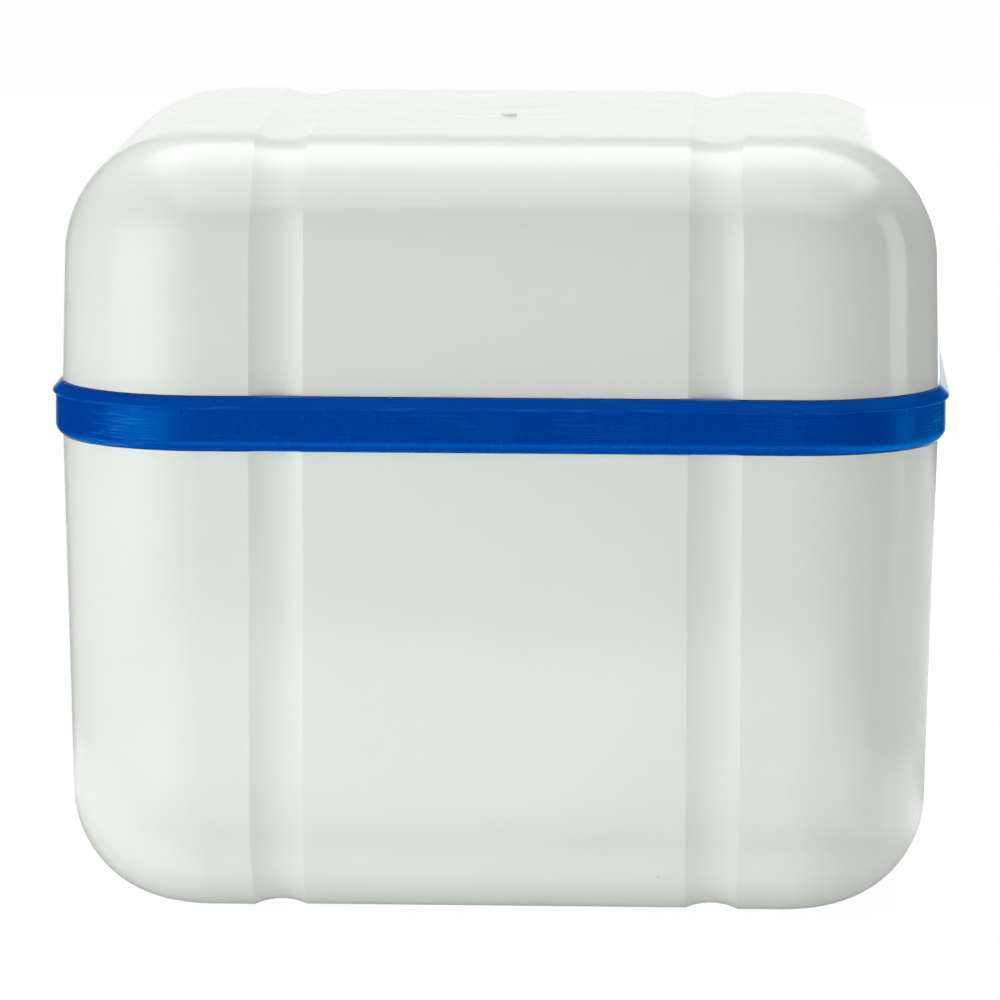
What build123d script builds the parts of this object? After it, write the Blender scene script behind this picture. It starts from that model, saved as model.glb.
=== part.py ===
from build123d import *
import math
import os

# Denture case: white tub and lid with strap grooves, blue rings at the parting
# line, back hinge, water seal, lift-out strainer basket and mirror in the lid.
# Millimetres; +X right, +Y towards the hinge, +Z up; origin under the middle.

# White shells
body_width = 92.0          # across the shells at the blue band
body_depth = 78.2
case_height = 81.4
plan_corner = 15.3         # plan radius of the four upright corners, at the band
base_draft = 1.48          # degrees, tub narrows downwards
lid_draft = 1.23           # degrees, lid narrows upwards
top_edge_radius = 10.8     # front and back edges of the roof
top_side_radius = 13.1     # left and right edges of the roof
bottom_edge_radius = 9.0
bottom_side_radius = 11.5
base_wall = 2.0
base_floor = 2.2
lid_wall = 1.8
lid_roof = 2.0
cap_sections = 18          # outlines that shape a rounded end
lead_in_step = 0.5         # close outlines just before the rounding starts
lead_in_count = 4

# Blue band
band_bottom = 49.3
band_top = 55.1
parting_z = 53.75          # lid ring sits on the collar here
band_proud = 0.75          # collar stands out from the shell
lip_proud = 1.05           # finger lip stands out from the shell
lip_edge = 0.32            # upright edge of the finger lip
lip_round = 0.13           # both corners of that edge
collar_round = 1.2         # lower outer edge of the collar
tongue_inset = 0.9         # rabbet in both shells that carries a ring
tongue_height = 2.7        # tub's tongue inside the collar
ring_gap = 0.12            # dark joint between the lid and its ring
seat_clearance = 0.02      # rings pressed on the tongues

# Collar upstand, seal and basket ledge
upstand_gap = 0.4          # between the lid's inner wall and the upstand
upstand_wall = 1.5
upstand_height = 3.7
upstand_chamfer = 0.5
seal_width = 1.3
seal_depth = 0.8
seal_squeeze_gap = 0.18    # the seal's lip stays this far from the lid
seal_clearance = 0.05
seal_above_parting = 1.6
ledge_reach = 1.5
ledge_thickness = 1.4
ledge_drop = 2.15          # ledge top under the parting plane
snap_length = 22.0         # bead on the front of the upstand
snap_radius = 0.35
snap_height = 0.9
snap_proud = 0.15

# Strap grooves, centre panel and gate dish
groove_spacing = 45.0
groove_width = 5.9
groove_depth = 0.7
panel_recess = 0.14        # centre panel lies this far under the side panels
foot_pad_margin = 2.0
cutter_margin = 10.0       # cutters run this far past what they cut
groove_overrun = 8.0
dish_diameter = 16.0
dish_depth = 0.35
gate_diameter = 1.6
gate_height = 0.2

# Hinge
hinge_length = 33.0
knuckle_count = 5
knuckle_gap = 0.3
knuckle_radius = 2.0
knuckle_clearance = 0.2    # relief round a knuckle in the other ring
hinge_offset = 2.2         # axis behind the shell
pin_radius = 0.8
pin_fit = 0.01             # pin in the collar's knuckles
pin_running = 0.05         # pin in the lid's knuckles
pin_inset = 0.5            # pin end inside the outer knuckles
leaf_wall_gap = 0.15

# Basket and bail
rim_gap = 0.25             # basket rim inside the upstand
rim_thickness = 1.2
basket_gap = 0.3           # basket wall inside the ledge
basket_wall = 1.3
basket_floor = 1.5
basket_floor_z = 12.0
basket_draft = 2.0
basket_edge_radius = 5.0
hole_diameter = 4.0
hole_pitch = 8.0
slot_width = 2.4
slot_height = 20.0
slot_bottom_z = 20.0
slot_pitch = 7.0
bail_radius = 1.5
bail_reach = 24.5          # pivot to the middle of the bail's bar
bail_corner = 8.0
bail_pivot_z = 49.0
bail_side_gap = 0.35
bail_running = 0.05
grip_length = 28.0
grip_radius = 2.1
rest_y = 17.0
rest_size = (1.9, 4.0, 2.0)
rest_gap = 0.05
rest_bite = 0.1            # rest sunk into the basket's wall
hole_margin = 2.0          # holes and slots keep this far from the rounded edges
slot_margin = 3.0
grip_round = 0.5
pin_end_gap = 0.3          # bail pin inside the outer face of the basket

# Mirror
mirror_size = (56.0, 40.0)
mirror_corner = 6.0
mirror_thickness = 1.4
pad_thickness = 0.8
bezel_width = 2.4
bezel_overlap = 1.6
bezel_lip = 0.8
mirror_fit = 0.05
pad_inset = 1.0
bezel_round = 0.6

half_width = body_width / 2
half_depth = body_depth / 2
upstand_inset = lid_wall + upstand_gap
upstand_inner = upstand_inset + upstand_wall
ledge_inset = upstand_inner + ledge_reach
ledge_top = parting_z - ledge_drop
basket_inset = ledge_inset + basket_gap
hinge_y = half_depth + hinge_offset
knuckle_length = (hinge_length - (knuckle_count - 1) * knuckle_gap) / knuckle_count
roof_z = case_height - lid_roof


def plan(inset, z, up=True):
    """Rounded outline of the case, moved inwards by inset, at height z."""
    outline = RectangleRounded(body_width - 2 * inset, body_depth - 2 * inset, plan_corner - inset)
    return Plane((0, 0, z), z_dir=(0, 0, 1 if up else -1)) * outline


def band(z_low, z_high, outer_inset, inner_inset):
    """Upright ring between two outlines."""
    height = z_high - z_low
    return extrude(plan(outer_inset, z_low), height) - extrude(plan(inner_inset, z_low), height)


def edges_at(part, z, inset):
    """Outline edges at height z and at the given inset from the shell."""
    loop = []
    for edge in part.edges().filter_by_position(Axis.Z, z - 0.01, z + 0.01):
        middle = edge @ 0.5
        straight_x = abs(abs(middle.Y) - (half_depth - inset)) < 0.05
        straight_y = abs(abs(middle.X) - (half_width - inset)) < 0.05
        corner_centre = Vector(half_width - plan_corner, half_depth - plan_corner, z)
        to_corner = (Vector(abs(middle.X), abs(middle.Y), z) - corner_centre).length
        on_corner = edge.geom_type == GeomType.CIRCLE and abs(to_corner - (plan_corner - inset)) < 0.05
        if straight_x or straight_y or on_corner:
            loop.append(edge)
    return loop


def side_profile(z_band, z_end, draft, radius, outset):
    """Front, top (or bottom) and back of the case as one rounded path in the YZ plane."""
    sign = 1 if z_end > z_band else -1
    lean = math.tan(math.radians(draft))
    across = outset / math.cos(math.radians(draft))
    start_z = z_band - sign * groove_overrun
    end_z = z_end + sign * outset
    start_y = half_depth + across + groove_overrun * lean
    end_y = half_depth + across - abs(end_z - z_band) * lean
    corners = [(0, -start_y, start_z), (0, -end_y, end_z), (0, end_y, end_z), (0, start_y, start_z)]
    return FilletPolyline(*corners, radius=radius + outset)


def strap_grooves(z_band, z_end, draft, radius):
    """Two round-bottomed cutters that follow the side profile."""
    arc_radius = (groove_width ** 2 / 4 + groove_depth ** 2) / (2 * groove_depth)
    path = side_profile(z_band, z_end, draft, radius, arc_radius - groove_depth)
    section = Plane(path @ 0, z_dir=path % 0) * Circle(arc_radius)
    cutter = sweep(section, path)
    return [Pos(side * groove_spacing / 2, 0, 0) * cutter for side in (-1, 1)]


def centre_recess(z_band, z_end, draft, radius):
    """What lies outside the centre panel, between the grooves."""
    path = side_profile(z_band, z_end, draft, radius, -panel_recess)
    inside = make_face([path, Line(path @ 1, path @ 0)])
    panel = extrude(inside, groove_spacing / 2, both=True)
    low, high = sorted((z_band, z_end))
    size = (groove_spacing, body_depth + 2 * cutter_margin, high - low + 2 * cutter_margin)
    around = Pos(0, 0, (low + high) / 2) * Box(*size)
    return around - panel


def drafted_block(z_wide, z_narrow, inset, draft, radius):
    """Rounded block that narrows from z_wide to z_narrow, with its end edge rounded."""
    up = z_narrow > z_wide
    block = extrude(plan(inset, z_wide, up), abs(z_narrow - z_wide), taper=draft)
    end_face = block.faces().sort_by(Axis.Z)[-1 if up else 0]
    return fillet(end_face.edges(), radius)


def shell_block(z_band, z_end, inset, draft, edge_radius, side_radius):
    """Drafted block whose end is rounded more at the left and right than at front and back."""
    sign = 1 if z_end > z_band else -1
    height = abs(z_end - z_band)
    lean = math.tan(math.radians(draft))
    straight = height - side_radius - lead_in_count * lead_in_step
    block = extrude(plan(inset, z_band, z_end > z_band), straight, taper=draft)
    heights = [straight + step * lead_in_step for step in range(lead_in_count + 1)]
    for step in range(1, cap_sections + 1):
        heights.append(height - side_radius * (1 - math.sin(step * math.pi / 2 / cap_sections)))
    outlines = []
    for at in heights:
        across = inset + at * lean
        side = across + arc_inset(side_radius, at - (height - side_radius))
        front = across + arc_inset(edge_radius, at - (height - edge_radius))
        corner = plan_corner - (side + front) / 2
        outline = RectangleRounded(body_width - 2 * side, body_depth - 2 * front, corner)
        outlines.append(Pos(0, 0, z_band + sign * at) * outline)
    return block + loft(outlines)


def arc_inset(radius, rise):
    """How far a quarter round of this radius has moved inwards at this rise."""
    rise = min(max(rise, 0), radius)
    return radius - math.sqrt(radius ** 2 - rise ** 2)


def half_space(z, side):
    """Large block that lies above (side 1) or below (side -1) height z."""
    size = body_width + body_depth
    return Pos(0, 0, z + side * size / 2) * Box(size, size, size)


def make_base_shell():
    shell = shell_block(band_bottom, 0, 0, base_draft, bottom_edge_radius, bottom_side_radius)
    shell += band(band_bottom, band_bottom + tongue_height, tongue_inset, base_wall)
    inner_radii = (bottom_edge_radius - base_wall, bottom_side_radius - base_wall)
    shell -= shell_block(band_bottom, base_floor, base_wall, base_draft, *inner_radii)
    for cutter in strap_grooves(band_bottom, 0, base_draft, bottom_edge_radius):
        shell -= cutter
    recess = centre_recess(band_bottom, 0, base_draft, bottom_edge_radius)
    flat_depth = body_depth - 2 * (bottom_edge_radius + foot_pad_margin)
    foot_pad = Box(groove_spacing, flat_depth, 4 * panel_recess)
    return shell - (recess & half_space(band_bottom, -1) - foot_pad)


def make_lid_shell():
    shell = shell_block(band_top, case_height, 0, lid_draft, top_edge_radius, top_side_radius)
    shell += band(parting_z, band_top, tongue_inset, lid_wall)
    inner_radii = (top_edge_radius - lid_roof, top_side_radius - lid_roof)
    shell -= shell_block(band_top, roof_z, lid_wall, lid_draft, *inner_radii)
    for cutter in strap_grooves(band_top, case_height, lid_draft, top_edge_radius):
        shell -= cutter
    recess = centre_recess(band_top, case_height, lid_draft, top_edge_radius)
    shell -= recess & half_space(band_top, 1)
    top_z = case_height - panel_recess
    ball_radius = (dish_diameter ** 2 / 4 + dish_depth ** 2) / (2 * dish_depth)
    shell -= Pos(0, 0, top_z - dish_depth + ball_radius) * Sphere(ball_radius)
    gate = Pos(0, 0, top_z - dish_depth) * Cylinder(gate_diameter / 2, 2 * gate_height)
    return shell + gate


def knuckle_spans(first, step):
    """Start and end, along X, of every step-th knuckle from the first one."""
    pitch = knuckle_length + knuckle_gap
    left = -hinge_length / 2
    return [(left + i * pitch, left + i * pitch + knuckle_length) for i in range(first, knuckle_count, step)]


def hinge_rod(x_low, x_high, radius):
    """Cylinder along the hinge axis."""
    plane = Plane((x_low, hinge_y, parting_z), z_dir=(1, 0, 0))
    return extrude(plane * Circle(radius), x_high - x_low)


def with_knuckles(ring, own, other, leaf_side, bore):
    """Add one ring's knuckles and leaves, and clear the other ring's knuckles."""
    room = knuckle_radius + knuckle_clearance
    for x_low, x_high in other:
        ring -= hinge_rod(x_low - knuckle_gap, x_high + knuckle_gap, room)
    leaf_front = half_depth + leaf_wall_gap
    for x_low, x_high in own:
        ring += hinge_rod(x_low, x_high, knuckle_radius)
        size = (x_high - x_low, hinge_y - leaf_front, knuckle_radius)
        middle = ((x_low + x_high) / 2, (hinge_y + leaf_front) / 2, parting_z + leaf_side * knuckle_radius / 2)
        ring += Pos(*middle) * Box(*size)
    return ring - hinge_rod(-hinge_length, hinge_length, bore)


def make_base_collar():
    skirt_inner = tongue_inset - seat_clearance
    tongue_top = band_bottom + tongue_height
    collar = band(band_bottom, tongue_top, -band_proud, skirt_inner)
    collar = fillet(edges_at(collar, band_bottom, -band_proud), collar_round)
    collar += band(tongue_top, parting_z, -band_proud, upstand_inner)
    upstand = band(parting_z, parting_z + upstand_height, upstand_inset, upstand_inner)
    upstand = chamfer(edges_at(upstand, parting_z + upstand_height, upstand_inset), upstand_chamfer)
    collar += upstand
    ledge_bottom = ledge_top - ledge_thickness
    collar += band(ledge_bottom, ledge_top, base_wall + seat_clearance, ledge_inset)
    collar += band(ledge_bottom, tongue_top, base_wall + seat_clearance, upstand_inner)
    seal_z = parting_z + seal_above_parting
    collar -= band(seal_z, seal_z + seal_width, upstand_inset - 1, upstand_inset + seal_depth)
    bead_y = -(half_depth - upstand_inset) + snap_radius - snap_proud
    bead = Plane((-snap_length / 2, bead_y, parting_z + snap_height), z_dir=(1, 0, 0)) * Circle(snap_radius)
    collar += extrude(bead, snap_length)
    own, other = knuckle_spans(0, 2), knuckle_spans(1, 2)
    return with_knuckles(collar, own, other, -1, pin_radius + pin_fit)


def make_lid_ring():
    ring_top = band_top - ring_gap
    ring = band(parting_z, ring_top, -lip_proud, tongue_inset - seat_clearance)
    bevel = ring_top - parting_z - lip_edge
    ring = chamfer(edges_at(ring, ring_top, -lip_proud), bevel)
    lip_edges = edges_at(ring, parting_z, -lip_proud) + edges_at(ring, parting_z + lip_edge, -lip_proud)
    ring = fillet(lip_edges, lip_round)
    own, other = knuckle_spans(1, 2), knuckle_spans(0, 2)
    return with_knuckles(ring, own, other, 1, pin_radius + pin_running)


def make_hinge_pin():
    pin = hinge_rod(-hinge_length / 2 + pin_inset, hinge_length / 2 - pin_inset, pin_radius)
    return chamfer(pin.edges().filter_by(GeomType.CIRCLE), pin_radius / 4)


def make_water_seal():
    low = parting_z + seal_above_parting + seal_clearance
    high = low + seal_width - 2 * seal_clearance
    outer = lid_wall + seal_squeeze_gap
    seal = band(low, high, outer, upstand_inset + seal_depth - seal_clearance)
    lips = edges_at(seal, low, outer) + edges_at(seal, high, outer)
    return fillet(lips, seal_width / 4)


def make_strainer_basket():
    rim_top = ledge_top + rim_thickness
    basket = drafted_block(ledge_top, basket_floor_z, basket_inset, basket_draft, basket_edge_radius)
    basket += band(ledge_top, rim_top, upstand_inner + rim_gap, basket_inset + basket_wall)
    floor_z = basket_floor_z + basket_floor
    inner_edge = basket_edge_radius - basket_wall
    basket -= drafted_block(ledge_top, floor_z, basket_inset + basket_wall, basket_draft, inner_edge)
    inner_half_width = half_width - basket_inset - basket_wall
    columns = int((inner_half_width - basket_edge_radius - hole_margin) / hole_pitch)
    inner_half_depth = half_depth - basket_inset - basket_wall
    rows = int((inner_half_depth - basket_edge_radius - hole_margin) / hole_pitch)
    holes = [
        Pos(i * hole_pitch, j * hole_pitch, basket_floor_z) * Cylinder(hole_diameter / 2, 4 * basket_floor)
        for i in range(-columns, columns + 1)
        for j in range(-rows, rows + 1)
        if abs(i) + abs(j) < columns + rows
    ]
    basket -= holes
    slot_middle = slot_bottom_z + slot_height / 2
    front_slots = int((half_width - plan_corner - slot_margin) / slot_pitch)
    side_slots = int((half_depth - plan_corner - slot_margin) / slot_pitch)
    slots = [
        Pos(i * slot_pitch, 0, slot_middle) * slot_bar(body_depth, (1, 0))
        for i in range(-front_slots, front_slots + 1)
    ]
    slots += [
        Pos(0, i * slot_pitch, slot_middle) * slot_bar(body_width, (0, 1))
        for i in range(-side_slots, side_slots + 1)
    ]
    basket -= slots
    rest_x = inner_half_width - rest_size[0] / 2 + rest_bite
    rest_z = bail_pivot_z - bail_radius - rest_gap - rest_size[2] / 2
    for x_side in (-1, 1):
        for y_side in (-1, 1):
            basket += Pos(x_side * rest_x, y_side * rest_y, rest_z) * Box(*rest_size)
    pivot = Plane((-half_width, 0, bail_pivot_z), z_dir=(1, 0, 0)) * Circle(bail_radius + bail_running)
    return basket - extrude(pivot, body_width)


def slot_bar(length, width_axis):
    """Long upright slot cutter with round ends."""
    x_dir = (0, 0, 1)
    normal = (width_axis[1], width_axis[0], 0)
    outline = Plane((0, 0, 0), x_dir=x_dir, z_dir=normal) * SlotOverall(slot_height, slot_width)
    return extrude(outline, length / 2, both=True)


def make_basket_handle():
    wall_x = half_width - basket_inset - basket_wall
    leg_x = wall_x - bail_side_gap - bail_radius
    z = bail_pivot_z
    corners = [(-leg_x, 0, z), (-leg_x, -bail_reach, z), (leg_x, -bail_reach, z), (leg_x, 0, z)]
    path = FilletPolyline(*corners, radius=bail_corner)
    bail = sweep(Plane(path @ 0, z_dir=path % 0) * Circle(bail_radius), path)
    grip = Plane((-grip_length / 2, -bail_reach, z), z_dir=(1, 0, 0)) * Circle(grip_radius)
    grip = extrude(grip, grip_length)
    bail += fillet(grip.edges().filter_by(GeomType.CIRCLE), grip_round)
    pin_end = half_width - basket_inset - pin_end_gap
    for side in (-1, 1):
        pin = Plane((side * leg_x, 0, z), z_dir=(side, 0, 0)) * Circle(bail_radius)
        bail += extrude(pin, pin_end - leg_x)
        bail += Pos(side * leg_x, 0, z) * Sphere(bail_radius)
    return bail


def mirror_block(grow, z_low, z_high):
    """Rounded plate on the mirror's outline, grown all round."""
    width, depth = mirror_size
    outline = RectangleRounded(width + 2 * grow, depth + 2 * grow, mirror_corner + grow)
    return extrude(Pos(0, 0, z_low) * outline, z_high - z_low)


def make_mirror():
    glass_top = roof_z - pad_thickness
    glass_bottom = glass_top - mirror_thickness
    pad = mirror_block(-pad_inset, glass_top, roof_z)
    glass = mirror_block(0, glass_bottom, glass_top)
    bezel_bottom = glass_bottom - bezel_lip
    bezel = mirror_block(bezel_width, bezel_bottom, roof_z)
    bezel = fillet(bezel.faces().sort_by(Axis.Z)[0].edges(), bezel_round)
    bezel -= mirror_block(mirror_fit, glass_bottom, roof_z)
    bezel -= mirror_block(-bezel_overlap, bezel_bottom - bezel_lip, roof_z)
    return {"mirror_pad": pad, "mirror_glass": glass, "mirror_bezel": bezel}


pieces = {
    "base_shell": make_base_shell(),
    "base_collar": make_base_collar(),
    "water_seal": make_water_seal(),
    "hinge_pin": make_hinge_pin(),
    "lid_shell": make_lid_shell(),
    "lid_ring": make_lid_ring(),
    "strainer_basket": make_strainer_basket(),
    "basket_handle": make_basket_handle(),
}
pieces.update(make_mirror())

os.makedirs("parts", exist_ok=True)
for name, piece in pieces.items():
    piece.label = name
    export_step(piece, f"parts/{name}.step")
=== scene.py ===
import bpy
import math
from mathutils import Matrix, Vector

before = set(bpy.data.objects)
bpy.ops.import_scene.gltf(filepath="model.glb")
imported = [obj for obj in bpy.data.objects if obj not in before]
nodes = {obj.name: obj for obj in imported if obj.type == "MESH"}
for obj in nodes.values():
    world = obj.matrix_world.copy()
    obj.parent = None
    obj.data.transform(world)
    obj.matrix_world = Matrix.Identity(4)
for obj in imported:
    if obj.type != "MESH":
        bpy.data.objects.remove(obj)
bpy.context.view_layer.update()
print("case loaded,", len(nodes), "parts")

# places of a Mix node's sockets, because its number and colour sockets share names
numberA, numberB, numberOut = 2, 3, 0
colourA, colourB, colourOut = 6, 7, 2


def feed(tree, node, inputs):
    # an input gets a plain value, or a link from another node's output
    for name, value in inputs.items():
        if isinstance(value, bpy.types.NodeSocket):
            tree.links.new(value, node.inputs[name])
        else:
            node.inputs[name].default_value = value


def addNode(tree, kind, place, inputs=None, **settings):
    node = tree.nodes.new(kind)
    node.location = place
    for name, value in settings.items():
        setattr(node, name, value)
    feed(tree, node, inputs or {})
    return node


def newGroup(name, inputs, outputs):
    group = bpy.data.node_groups.new(name, "ShaderNodeTree")
    for label, kind, value in inputs:
        socket = group.interface.new_socket(label, in_out="INPUT", socket_type=kind)
        if value is not None:
            socket.default_value = value
    for label, kind in outputs:
        group.interface.new_socket(label, in_out="OUTPUT", socket_type=kind)
    start = addNode(group, "NodeGroupInput", (-900, 0))
    end = addNode(group, "NodeGroupOutput", (900, 0))
    return group, start.outputs, end


def noiseAt(tree, place, where, scale, detail=2.0, roughness=0.5):
    inputs = {"Vector": where, "Scale": scale, "Detail": detail, "Roughness": roughness}
    return addNode(tree, "ShaderNodeTexNoise", place, inputs).outputs["Fac"]


def rangeAt(tree, place, value, low, high, outLow=0.0, outHigh=1.0, curve="LINEAR"):
    inputs = {"Value": value, "From Min": low, "From Max": high, "To Min": outLow, "To Max": outHigh}
    return addNode(tree, "ShaderNodeMapRange", place, inputs, interpolation_type=curve).outputs["Result"]


def mathAt(tree, place, operation, *terms, clamp=False):
    inputs = dict(enumerate(terms))
    node = addNode(tree, "ShaderNodeMath", place, inputs, operation=operation, use_clamp=clamp)
    return node.outputs["Value"]


def mixColours(tree, place, factor, first, second):
    inputs = {"Factor": factor, colourA: first, colourB: second}
    return addNode(tree, "ShaderNodeMix", place, inputs, data_type="RGBA").outputs[colourOut]


def mixNumbers(tree, place, factor, first, second):
    inputs = {"Factor": factor, numberA: first, numberB: second}
    return addNode(tree, "ShaderNodeMix", place, inputs, data_type="FLOAT").outputs[numberOut]


floatKind, colourKind, vectorKind = "NodeSocketFloat", "NodeSocketColor", "NodeSocketVector"
skinEffect = {"cloudRange": (0.38, 0.68), "glossScale": 220.0, "glossRange": (0.2, 0.8)}


def makeSkinGroup(effect):
    # soft clouds in the colour, an uneven gloss, and sink marks and orange peel in the height
    group, given, end = newGroup("mouldedSkin", [
        ("Vector", vectorKind, None),
        ("Colour", colourKind, (0.8, 0.8, 0.8, 1)),
        ("Cloud Colour", colourKind, (0.7, 0.7, 0.7, 1)),
        ("Cloud Scale", floatKind, 40.0),
        ("Sink Scale", floatKind, 45.0),
        ("Sink Depth", floatKind, 0.00003),
        ("Peel Scale", floatKind, 900.0),
        ("Peel Depth", floatKind, 0.000002),
        ("Gloss Low", floatKind, 0.15),
        ("Gloss High", floatKind, 0.25),
    ], [("Colour", colourKind), ("Roughness", floatKind), ("Height", floatKind)])
    where = given["Vector"]
    clouds = noiseAt(group, (-600, 300), where, given["Cloud Scale"], detail=3.0, roughness=0.55)
    cloudMask = rangeAt(group, (-400, 300), clouds, *effect["cloudRange"])
    tint = mixColours(group, (-150, 300), cloudMask, given["Colour"], given["Cloud Colour"])
    gloss = noiseAt(group, (-600, 0), where, effect["glossScale"], detail=4.0, roughness=0.6)
    glossLimits = given["Gloss Low"], given["Gloss High"]
    roughness = rangeAt(group, (-150, 0), gloss, *effect["glossRange"], *glossLimits)
    sink = noiseAt(group, (-600, -250), where, given["Sink Scale"], detail=1.0, roughness=0.4)
    sinkHeight = mathAt(group, (-150, -250), "MULTIPLY", sink, given["Sink Depth"])
    peel = noiseAt(group, (-600, -500), where, given["Peel Scale"])
    peelHeight = mathAt(group, (-150, -500), "MULTIPLY", peel, given["Peel Depth"])
    height = mathAt(group, (300, -350), "ADD", sinkHeight, peelHeight)
    feed(group, end, {"Colour": tint, "Roughness": roughness, "Height": height})
    return group


scuffEffect = {"lineFade": 0.12, "patchRange": (0.45, 0.65)}


def makeScuffGroup(effect):
    # fine scratches, narrow along the stretched axes and broken up into patches
    group, given, end = newGroup("fineScuffs", [
        ("Vector", vectorKind, None),
        ("Stretch", vectorKind, (1.0, 1.0, 30.0)),
        ("Scale", floatKind, 120.0),
        ("Patch Scale", floatKind, 60.0),
        ("Threshold", floatKind, 0.6),
        ("Amount", floatKind, 0.5),
    ], [("Mask", floatKind), ("Lines", floatKind)])
    inputs = {0: given["Vector"], 1: given["Stretch"]}
    stretched = addNode(group, "ShaderNodeVectorMath", (-700, 200), inputs, operation="MULTIPLY")
    along = stretched.outputs["Vector"]
    lines = noiseAt(group, (-500, 200), along, given["Scale"], detail=3.0, roughness=0.6)
    fullAt = mathAt(group, (-500, 450), "ADD", given["Threshold"], effect["lineFade"])
    lineMask = rangeAt(group, (-250, 200), lines, given["Threshold"], fullAt)
    patches = noiseAt(group, (-500, -150), given["Vector"], given["Patch Scale"])
    patchMask = rangeAt(group, (-250, -150), patches, *effect["patchRange"])
    both = mathAt(group, (50, 50), "MULTIPLY", lineMask, patchMask)
    mask = mathAt(group, (300, 50), "MULTIPLY", both, given["Amount"])
    feed(group, end, {"Mask": mask, "Lines": lineMask})
    return group


speckEffect = {"emptyShare": 0.82}


def makeSpeckGroup(effect):
    # a few small specks, each a dot at the middle of a cell
    group, given, end = newGroup("fineSpecks", [
        ("Vector", vectorKind, None),
        ("Cell Scale", floatKind, 300.0),
        ("Dot Size", floatKind, 0.08),
        ("Amount", floatKind, 0.5),
    ], [("Mask", floatKind)])
    inputs = {"Vector": given["Vector"], "Scale": given["Cell Scale"]}
    cells = addNode(group, "ShaderNodeTexVoronoi", (-600, 100), inputs)
    near = mathAt(group, (-350, 200), "LESS_THAN", cells.outputs["Distance"], given["Dot Size"])
    split = addNode(group, "ShaderNodeSeparateColor", (-350, -50), {"Color": cells.outputs["Color"]})
    chosen = mathAt(group, (-100, -50), "GREATER_THAN", split.outputs["Red"], effect["emptyShare"])
    both = mathAt(group, (150, 100), "MULTIPLY", near, chosen)
    feed(group, end, {"Mask": mathAt(group, (400, 100), "MULTIPLY", both, given["Amount"])})
    return group


skinGroup = makeSkinGroup(skinEffect)
scuffGroup = makeScuffGroup(scuffEffect)
speckGroup = makeSpeckGroup(speckEffect)
print("shared effects made")


def startMaterial(name):
    material = bpy.data.materials.new(name)
    material.use_nodes = True
    tree = material.node_tree
    shader = tree.nodes["Principled BSDF"]
    shader.location = (700, 200)
    tree.nodes["Material Output"].location = (1250, 100)
    coords = addNode(tree, "ShaderNodeTexCoord", (-900, 0))
    return material, tree, shader, coords.outputs["Object"]


def addBump(tree, height, strength, distance):
    inputs = {"Strength": strength, "Distance": distance, "Height": height}
    return addNode(tree, "ShaderNodeBump", (350, -200), inputs).outputs["Normal"]


def showBlend(tree, share, first, second):
    # share is how much of the second shader shows
    blend = addNode(tree, "ShaderNodeMixShader", (1000, 0), {0: share, 1: first, 2: second})
    tree.links.new(blend.outputs["Shader"], tree.nodes["Material Output"].inputs["Surface"])


def dress(nodeName, material):
    slots = nodes[nodeName].material_slots
    for slot in slots:
        slot.material = material
    if not slots:
        nodes[nodeName].data.materials.append(material)


def nearness(tree, place, where, spot):
    # the spot's amount inside the first reach and 0 past the second
    # weights scale the axes before the distance to the spot's place is taken
    x, y = place
    inputs = {0: where, 1: spot["weights"]}
    scaled = addNode(tree, "ShaderNodeVectorMath", place, inputs, operation="MULTIPLY")
    inputs = {0: scaled.outputs["Vector"], 1: spot["place"]}
    away = addNode(tree, "ShaderNodeVectorMath", (x + 150, y), inputs, operation="DISTANCE")
    full, none = spot["reach"]
    return rangeAt(tree, (x + 300, y), away.outputs["Value"], none, full, 0.0, spot["amount"], "SMOOTHSTEP")


def addTintedShine(tree, shader, style, roughness, normal):
    # reflections take the plastic's tint, and go pale and strong at a glancing angle
    edge = addNode(tree, "ShaderNodeLayerWeight", (250, -450), {"Blend": 0.5})
    facing = edge.outputs["Facing"]
    paleness = rangeAt(tree, (450, -450), facing, *style["paleFrom"])
    tint = mixColours(tree, (600, -600), paleness, style["shine"], style["pale"])
    inputs = {"Color": tint, "Roughness": roughness, "Normal": normal}
    shine = addNode(tree, "ShaderNodeBsdfAnisotropic", (800, -350), inputs)
    fresnel = addNode(tree, "ShaderNodeFresnel", (700, 450), {"IOR": style["shineIor"], "Normal": normal})
    grazing = rangeAt(tree, (700, 650), facing, *style["grazeFrom"])
    share = mathAt(tree, (850, 550), "MAXIMUM", fresnel.outputs["Fac"], grazing)
    showBlend(tree, share, shader.outputs["BSDF"], shine.outputs["BSDF"])


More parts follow.
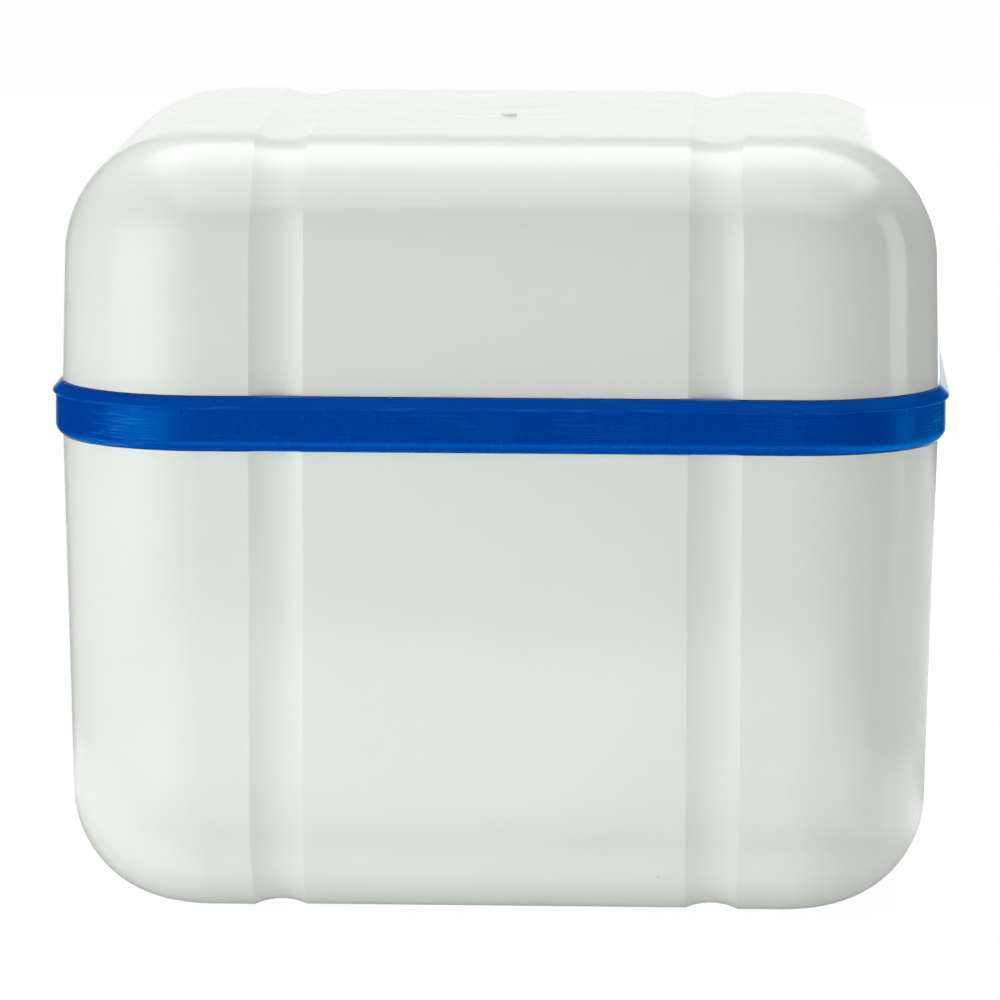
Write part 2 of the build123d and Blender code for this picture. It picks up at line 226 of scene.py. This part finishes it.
def plasticMaterial(name, style):
    # moulded plastic: clouded colour, sink marks, peel, scuffs and specks, with painted highlight streaks and
    # a painted floor reflection where the style lists them
    material, tree, shader, where = startMaterial(name)
    skin, scuffs, specks = (
        addNode(tree, "ShaderNodeGroup", place, {"Vector": where, **values}, node_tree=group).outputs
        for group, place, values in (
            (skinGroup, (-500, 300), style["skin"]),
            (scuffGroup, (-500, -150), style["scuffs"]),
            (speckGroup, (-500, -450), style["specks"]),
        )
    )
    colour, scuffAndHighlightMask = skin["Colour"], scuffs["Mask"]
    if "middle" in style:
        # painted floor reflection: the tint deepens toward the middle of the walls
        floorReflectionShare = nearness(tree, (-500, 700), where, style["middle"])
        colour = mixColours(tree, (-150, 600), floorReflectionShare, colour, style["middleColour"])
    for row, spot in enumerate(style.get("highlightScuffs", ())):
        # painted highlight streaks: near the listed spots more of the fine scratch lines show, in the lighter
        # scuff colour
        y = -700 - 300 * row
        highlightLines = mathAt(tree, (-50, y), "MULTIPLY", nearness(tree, (-500, y), where, spot), scuffs["Lines"])
        scuffAndHighlightMask = mathAt(tree, (150, y), "ADD", scuffAndHighlightMask, highlightLines, clamp=True)
    # real scuffs and the painted highlight streaks both take the scuff colour
    colour = mixColours(tree, (-150, 300), scuffAndHighlightMask, colour, style["scuffAndHighlightColour"])
    colour = mixColours(tree, (100, 300), specks["Mask"], colour, style["speckColour"])
    terms = scuffs["Mask"], style["scuffRoughness"], skin["Roughness"]
    roughness = mathAt(tree, (-150, 0), "MULTIPLY_ADD", *terms)
    normal = addBump(tree, skin["Height"], strength=1.0, distance=1.0)  # the height is in metres
    feed(tree, shader, {"Base Color": colour, "Roughness": roughness, "Normal": normal, **style["shader"]})
    if "shine" in style:
        addTintedShine(tree, shader, style, roughness, normal)
    return material


shellStyle = {
    "skin": {
        "Colour": (0.79, 0.828, 0.773, 1), "Cloud Colour": (0.778, 0.816, 0.76, 1), "Cloud Scale": 28.0,
        "Sink Scale": 30.0, "Sink Depth": 0.000005, "Peel Scale": 1500.0, "Peel Depth": 0.0000004,
        "Gloss Low": 0.07, "Gloss High": 0.12,
    },
    "scuffs": {"Stretch": (1.0, 1.0, 6.0), "Scale": 70.0, "Patch Scale": 45.0, "Amount": 0.25},
    "scuffAndHighlightColour": (0.84, 0.86, 0.83, 1),
    "scuffRoughness": 0.2,
    "specks": {"Cell Scale": 170.0, "Dot Size": 0.035, "Amount": 0.35},
    "speckColour": (0.42, 0.42, 0.4, 1),
    "shader": {"IOR": 1.5, "Subsurface Weight": 0.12, "Subsurface Scale": 0.003,
               "Subsurface Radius": (1.0, 0.95, 0.85)},
}
# painted floor light: the tub is a shade paler than the lid, and greener at the middle of its walls, where a
# painted reflection of the floor lies
floorLitBaseSkin = {"Colour": (0.795, 0.835, 0.78, 1), "Cloud Colour": (0.782, 0.821, 0.767, 1)}
baseStyle = {
    **shellStyle,
    "skin": {**shellStyle["skin"], **floorLitBaseSkin},
    "middle": {"weights": (1.0, 0.0, 1.0), "place": (-0.006, 0.0, 0.031), "reach": (0.016, 0.034),
               "amount": 0.9},
    "middleColour": (0.785, 0.862, 0.793, 1),
}
bezelStyle = {**shellStyle, "specks": {"Cell Scale": 240.0, "Dot Size": 0.04, "Amount": 0.2}}
collarStyle = {
    "skin": {
        "Colour": (0.0, 0.036, 0.333, 1), "Cloud Colour": (0.0, 0.0345, 0.326, 1), "Cloud Scale": 60.0,
        "Sink Scale": 60.0, "Sink Depth": 0.000008, "Peel Scale": 1200.0, "Peel Depth": 0.000001,
        "Gloss Low": 0.25, "Gloss High": 0.29,
    },
    "scuffs": {"Stretch": (1.0, 1.0, 24.0), "Scale": 260.0, "Patch Scale": 70.0, "Threshold": 0.5,
               "Amount": 0.1},
    "scuffAndHighlightColour": (0.015, 0.19, 0.6, 1),
    "scuffRoughness": 0.3,
    "specks": {"Cell Scale": 260.0, "Dot Size": 0.05, "Amount": 0.6},
    "speckColour": (0.15, 0.32, 0.7, 1),
    "shader": {"IOR": 1.5, "Specular IOR Level": 0.0, "Subsurface Weight": 0.1,
               "Subsurface Scale": 0.0015, "Subsurface Radius": (0.2, 0.5, 1.0)},
    "shine": (0.0, 0.42, 1.0, 1),
    "pale": (0.98, 1.0, 0.96, 1),
    "paleFrom": (0.8, 0.96),
    "grazeFrom": (0.78, 0.93),
    "shineIor": 1.88,
    # painted highlight streaks, broken into the fine scuff lines, where the lamps reflect at the two front
    # corners
    "highlightScuffs": [  # the two front corners
        {"weights": (1.0, 1.0, 0.6), "place": (-0.0385, -0.0365, 0.0308), "reach": (0.0015, 0.006),
         "amount": 0.5},
        {"weights": (1.0, 1.0, 0.9), "place": (0.0455, -0.029, 0.0451), "reach": (0.001, 0.005),
         "amount": 0.5},
    ],
}
# the lid's ring is duller than the collar, and has a painted highlight line, broken into the fine scuff
# lines, along its lower edge
lidRingSkin = {"Colour": (0.001, 0.047, 0.36, 1), "Cloud Colour": (0.001, 0.045, 0.35, 1),
               "Gloss Low": 0.34, "Gloss High": 0.38}
lidRingStyle = {
    **collarStyle,
    "skin": {**collarStyle["skin"], **lidRingSkin},
    "shineIor": 1.36,
    # painted highlight line along the lip's lower edge
    "highlightScuffs": [{"weights": (0.0, 0.0, 1.0), "place": (0.0, 0.0, 0.05396), "reach": (0.00005, 0.0002),
              "amount": 0.3}],
}
basketStyle = {
    "skin": {
        "Colour": (0.66, 0.72, 0.74, 1), "Cloud Colour": (0.6, 0.67, 0.7, 1), "Cloud Scale": 60.0,
        "Sink Scale": 50.0, "Sink Depth": 0.00004, "Peel Scale": 1500.0, "Peel Depth": 0.000003,
        "Gloss Low": 0.3, "Gloss High": 0.42,
    },
    "scuffs": {"Stretch": (8.0, 1.0, 1.0), "Scale": 60.0, "Patch Scale": 50.0, "Amount": 0.3},
    "scuffAndHighlightColour": (0.8, 0.83, 0.84, 1),
    "scuffRoughness": 0.2,
    "specks": {"Cell Scale": 220.0, "Dot Size": 0.05, "Amount": 0.2},
    "speckColour": (0.5, 0.5, 0.48, 1),
    "shader": {"IOR": 1.49, "Subsurface Weight": 0.3, "Subsurface Scale": 0.004},
}
handleStyle = {
    **collarStyle,
    "scuffs": {"Stretch": (1.0, 14.0, 14.0), "Scale": 50.0, "Patch Scale": 60.0, "Amount": 0.4},
}

for nodeName, name, style in (
    ("lid_shell", "lidPlastic", shellStyle),
    ("base_shell", "basePlastic", baseStyle),
    ("base_collar", "collarPlastic", collarStyle),
    ("lid_ring", "lidRingPlastic", lidRingStyle),
    ("strainer_basket", "basketPlastic", basketStyle),
    ("basket_handle", "handlePlastic", handleStyle),
    ("mirror_bezel", "bezelPlastic", bezelStyle),
):
    dress(nodeName, plasticMaterial(name, style))
print("plastics done")

sealStyle = {
    "colour": (0.62, 0.66, 0.68, 1), "dust": (0.72, 0.73, 0.71, 1), "dustScale": 400.0,
    "dustRange": (0.45, 0.75), "roughRange": (0.3, 0.8), "roughness": (0.38, 0.62),
    "grainScale": 1800.0, "grainStrength": 0.35, "grainDepth": 0.00003,
    "shader": {"Subsurface Weight": 0.35, "Subsurface Scale": 0.002, "IOR": 1.42},
}


def makeSilicone(style):
    # soft silicone with a dusty bloom
    material, tree, shader, where = startMaterial("sealSilicone")
    dust = noiseAt(tree, (-600, 200), where, style["dustScale"], detail=4.0, roughness=0.65)
    dustMask = rangeAt(tree, (-350, 200), dust, *style["dustRange"])
    colour = mixColours(tree, (0, 200), dustMask, style["colour"], style["dust"])
    roughness = rangeAt(tree, (0, -50), dust, *style["roughRange"], *style["roughness"])
    grain = noiseAt(tree, (-600, -300), where, style["grainScale"])
    normal = addBump(tree, grain, style["grainStrength"], style["grainDepth"])
    feed(tree, shader, {"Base Color": colour, "Roughness": roughness, "Normal": normal, **style["shader"]})
    return material


pinStyle = {
    "colour": (0.6, 0.6, 0.62, 1), "dark": (0.42, 0.42, 0.44, 1), "lineScale": 260.0,
    "stretch": (18.0, 1.0, 1.0), "lineStrength": 0.4, "lineDepth": 0.00002,
    "roughRange": (0.3, 0.7), "roughness": (0.22, 0.42),
}


def makeSteel(style):
    # drawn wire: fine lines round the pin
    material, tree, shader, where = startMaterial("pinSteel")
    inputs = {"Vector": where, "Scale": style["stretch"]}
    stretched = addNode(tree, "ShaderNodeMapping", (-650, 0), inputs)
    along = stretched.outputs["Vector"]
    lines = noiseAt(tree, (-400, 0), along, style["lineScale"], detail=5.0, roughness=0.6)
    colour = mixColours(tree, (0, 200), lines, style["dark"], style["colour"])
    roughness = rangeAt(tree, (0, -50), lines, *style["roughRange"], *style["roughness"])
    normal = addBump(tree, lines, style["lineStrength"], style["lineDepth"])
    feed(tree, shader, {"Base Color": colour, "Roughness": roughness, "Normal": normal, "Metallic": 1.0})
    return material


glassStyle = {
    "silver": (0.86, 0.88, 0.88, 1), "haze": (0.8, 0.83, 0.83, 1), "smudgeScale": 70.0,
    "smudgeRange": (0.5, 0.72), "roughness": (0.02, 0.09),
}


def makeMirrorFace(style):
    # silvered acrylic with finger marks that only dull the shine
    material, tree, shader, where = startMaterial("mirrorFace")
    smudge = noiseAt(tree, (-600, 0), where, style["smudgeScale"], detail=5.0, roughness=0.6)
    mask = rangeAt(tree, (-350, 0), smudge, *style["smudgeRange"])
    colour = mixColours(tree, (0, 200), mask, style["silver"], style["haze"])
    roughness = rangeAt(tree, (0, -50), mask, 0.0, 1.0, *style["roughness"])
    feed(tree, shader, {"Base Color": colour, "Roughness": roughness, "Metallic": 1.0})
    return material


foamStyle = {
    "colour": (0.3, 0.31, 0.32, 1), "dark": (0.16, 0.165, 0.17, 1), "cellScale": 1400.0,
    "cellStrength": 0.8, "cellDepth": 0.0002, "roughness": 0.9,
}


def makeFoam(style):
    # open cells, with painted shade dark in their middles
    material, tree, shader, where = startMaterial("padFoam")
    inputs = {"Vector": where, "Scale": style["cellScale"]}
    cells = addNode(tree, "ShaderNodeTexVoronoi", (-600, 0), inputs).outputs["Distance"]
    colour = mixColours(tree, (0, 200), cells, style["dark"], style["colour"])
    normal = addBump(tree, cells, style["cellStrength"], style["cellDepth"])
    feed(tree, shader, {"Base Color": colour, "Roughness": style["roughness"], "Normal": normal})
    return material


dress("water_seal", makeSilicone(sealStyle))
dress("hinge_pin", makeSteel(pinStyle))
dress("mirror_glass", makeMirrorFace(glassStyle))
dress("mirror_pad", makeFoam(foamStyle))
print("seal, pin, mirror and pad done")

# whiten is the share of plain white that the camera sees; the rest takes the shadow
floorStyle = {
    "size": 9.0, "colour": (0.88, 0.88, 0.88, 1), "shade": (0.86, 0.86, 0.865, 1), "grainScale": 6.0,
    "whiten": 0.97,
    "shader": {"Roughness": 0.95, "Specular IOR Level": 0.0, "Emission Color": (1, 1, 1, 1),
               "Emission Strength": 0.25},
}


def makeFloor(style):
    bpy.ops.object.select_all(action="DESELECT")
    bpy.ops.mesh.primitive_plane_add(size=style["size"], location=(0, 0, 0))
    floor = bpy.context.object
    floor.name = "studioFloor"
    material, tree, shader, where = startMaterial("studioPaper")
    grain = noiseAt(tree, (-600, 200), where, style["grainScale"], detail=3.0)
    colour = mixColours(tree, (0, 200), grain, style["colour"], style["shade"])
    feed(tree, shader, {"Base Color": colour, **style["shader"]})
    glow = addNode(tree, "ShaderNodeEmission", (700, -300), {"Color": (1, 1, 1, 1), "Strength": 1.0})
    light = addNode(tree, "ShaderNodeLightPath", (300, 500))
    seen = mathAt(tree, (500, 500), "MULTIPLY", light.outputs["Is Camera Ray"], style["whiten"])
    showBlend(tree, seen, shader.outputs["BSDF"], glow.outputs["Emission"])
    floor.data.materials.append(material)
    floor.visible_glossy = False


makeFloor(floorStyle)

# brightness 1 is white; border is the share of each side that fades out; rise gives the
# height where only low is left of the brightness, and the height where it is full
softboxes = [
    {"name": "overheadFill", "place": (0.03, 0.17, 0.62), "target": (0.03, 0.17, 0.0), "size": (0.72, 0.86),
     "brightness": 5.25, "border": 0.38, "glossy": False},
    {"name": "overheadShine", "place": (0.12, -0.16, 0.6), "target": (0.12, -0.16, 0.0), "size": (1.22, 1.32),
     "brightness": 2.8, "border": 0.2, "low": 0.56, "rise": (0.545, 0.66), "diffuse": False},
    {"name": "keyFill", "place": (-0.442, -0.405, 0.08), "target": (0.0, 0.0, 0.08), "size": (0.66, 0.58),
     "brightness": 2.9, "border": 0.2, "glossy": False},
    {"name": "keyShine", "place": (-0.41, -0.357, 0.1), "target": (0.0, 0.0, 0.08), "size": (0.88, 0.66),
     "brightness": 1.8, "border": 0.46, "low": 0.16, "rise": (0.2, 0.31), "diffuse": False},
    {"name": "rightStrip", "place": (0.6, -0.02, 0.08), "target": (0.0, 0.0, 0.08), "size": (0.2, 0.54),
     "brightness": 1.9, "border": 0.04, "low": 0.12, "rise": (0.24, 0.4), "diffuse": False},
    {"name": "backCard", "place": (0.0, 1.0, 0.15), "target": (0.0, 0.0, 0.15), "size": (0.6, 0.94),
     "brightness": 0.45, "border": 0.03, "low": 0.65, "rise": (0.72, 0.62)},
    {"name": "horizonCard", "place": (0.17, 0.98, -0.05), "target": (0.17, 0.0, -0.05), "size": (0.3, 0.3),
     "brightness": 1.0, "diffuse": False},
    {"name": "sideSheet", "place": (0.2, 0.1, 0.0008), "target": (0.2, 0.1, 0.5), "size": (0.36, 0.36),
     "brightness": 0.85, "border": 0.25, "diffuse": False},
    {"name": "leftFootSheet", "place": (-0.085, 0.0, 0.0009), "target": (-0.085, 0.0, 0.5),
     "size": (0.07, 0.13), "brightness": 0.7, "border": 0.3, "diffuse": False},
    {"name": "rightFootSheet", "place": (0.085, -0.04, 0.0009), "target": (0.085, -0.04, 0.5),
     "size": (0.08, 0.14), "brightness": 1.5, "border": 0.3, "diffuse": False},
    {"name": "frontSheet", "place": (0.0, -0.125, 0.0009), "target": (0.0, -0.125, 0.5), "size": (0.3, 0.13),
     "brightness": 1.4, "border": 0.25, "diffuse": False},
    {"name": "footBounce", "place": (-0.035, -0.075, 0.0006), "target": (-0.035, -0.075, 0.5),
     "size": (0.14, 0.073), "brightness": 0.17, "glossy": False},
]


def shadeLamp(lamp, style):
    # brightness over the face of a softbox
    lamp.use_nodes = True
    tree = lamp.node_tree
    geometry = addNode(tree, "ShaderNodeNewGeometry", (-1100, 0))
    split = addNode(tree, "ShaderNodeSeparateXYZ", (-900, 0), {"Vector": geometry.outputs["Parametric"]})
    middle = 0.5
    shares = []
    for row, axis in enumerate("XY"):
        centred = mathAt(tree, (-700, -200 * row), "SUBTRACT", split.outputs[axis], middle)
        distance = mathAt(tree, (-500, -200 * row), "ABSOLUTE", centred)
        limits = middle, middle - style["border"]
        shares.append(rangeAt(tree, (-300, -200 * row), distance, *limits, curve="SMOOTHSTEP"))
    if "low" in style:
        limits = *style["rise"], style["low"], 1.0
        shares.append(rangeAt(tree, (-300, -400), split.outputs["Y"], *limits, curve="SMOOTHSTEP"))
    strength = shares[0]
    for row, share in enumerate(shares[1:]):
        strength = mathAt(tree, (-100 + 200 * row, -200), "MULTIPLY", strength, share)
    tree.links.new(strength, tree.nodes["Emission"].inputs["Strength"])


for style in softboxes:
    width, height = style["size"]
    lamp = bpy.data.lights.new(style["name"], "AREA")
    lamp.shape = "RECTANGLE"
    lamp.size = width
    lamp.size_y = height
    lamp.energy = style["brightness"] * math.pi * width * height
    if "border" in style:
        shadeLamp(lamp, style)
    holder = bpy.data.objects.new(style["name"], lamp)
    bpy.context.collection.objects.link(holder)
    place, target = Vector(style["place"]), Vector(style["target"])
    holder.location = place
    holder.rotation_euler = (target - place).to_track_quat("-Z", "Y").to_euler()
    holder.visible_camera = False
    holder.visible_diffuse = style.get("diffuse", True)
    holder.visible_glossy = style.get("glossy", True)

worldStyle = {
    "ambient": 0.21, "frontShine": 0.2, "backShine": 0.4, "ceilingShine": 0.3, "floorShine": 0.3,
    "backFrom": (0.9, 0.98), "ceilingFrom": (0.68, 0.9), "floorFrom": (-0.25, -0.6),
}


def makeWorld(style):
    # plain white to the camera; shiny surfaces see a dim room, lightest at the back
    world = bpy.data.worlds.new("studioRoom")
    bpy.context.scene.world = world
    world.use_nodes = True
    tree = world.node_tree
    coords = addNode(tree, "ShaderNodeTexCoord", (-1100, 0))
    split = addNode(tree, "ShaderNodeSeparateXYZ", (-900, 0), {"Vector": coords.outputs["Generated"]})
    ahead, upward = split.outputs["Y"], split.outputs["Z"]
    limits = *style["backFrom"], style["frontShine"], style["backShine"]
    walls = rangeAt(tree, (-700, 100), ahead, *limits)
    ceiling = rangeAt(tree, (-700, -200), upward, *style["ceilingFrom"])
    room = mixNumbers(tree, (-450, 0), ceiling, walls, style["ceilingShine"])
    ground = rangeAt(tree, (-700, -450), upward, *style["floorFrom"])
    room = mixNumbers(tree, (-350, -200), ground, room, style["floorShine"])
    light = addNode(tree, "ShaderNodeLightPath", (-700, 500)).outputs
    kinds = light["Is Glossy Ray"], light["Is Transmission Ray"]
    mirrored = mathAt(tree, (-450, 300), "ADD", *kinds, clamp=True)
    unseen = mixNumbers(tree, (-250, 100), mirrored, style["ambient"], room)
    strength = mixNumbers(tree, (-50, 100), light["Is Camera Ray"], unseen, 1.0)
    feed(tree, tree.nodes["Background"], {"Color": (1, 1, 1, 1), "Strength": strength})


makeWorld(worldStyle)
print("room and lights done")

# yaw, pitch and roll in degrees; focalPixels for a frame that is imagePixels wide
cameraStyle = {
    "place": (0.0263, -0.7653, 0.1460), "yaw": -2.032, "pitch": 7.952, "roll": -0.20,
    "focalPixels": 7121.0, "imagePixels": 1000, "sensorWidth": 36.0, "clip": (0.05, 50.0),
}


def makeCamera(style):
    yaw, pitch, roll = (math.radians(style[key]) for key in ("yaw", "pitch", "roll"))
    ahead = Vector((math.sin(yaw) * math.cos(pitch), math.cos(yaw) * math.cos(pitch), -math.sin(pitch)))
    right = Vector((math.cos(yaw), -math.sin(yaw), 0.0))
    down = ahead.cross(right)
    rolledRight = math.cos(roll) * right + math.sin(roll) * down
    rolledDown = math.cos(roll) * down - math.sin(roll) * right
    lens = bpy.data.cameras.new("frontCamera")
    lens.sensor_width = style["sensorWidth"]
    lens.lens = style["focalPixels"] / style["imagePixels"] * style["sensorWidth"]
    lens.clip_start, lens.clip_end = style["clip"]
    camera = bpy.data.objects.new("frontCamera", lens)
    bpy.context.collection.objects.link(camera)
    turn = Matrix((rolledRight, -rolledDown, -ahead)).transposed().to_4x4()
    camera.matrix_world = Matrix.Translation(Vector(style["place"])) @ turn
    bpy.context.scene.camera = camera


makeCamera(cameraStyle)
bpy.context.scene.view_settings.view_transform = "Standard"
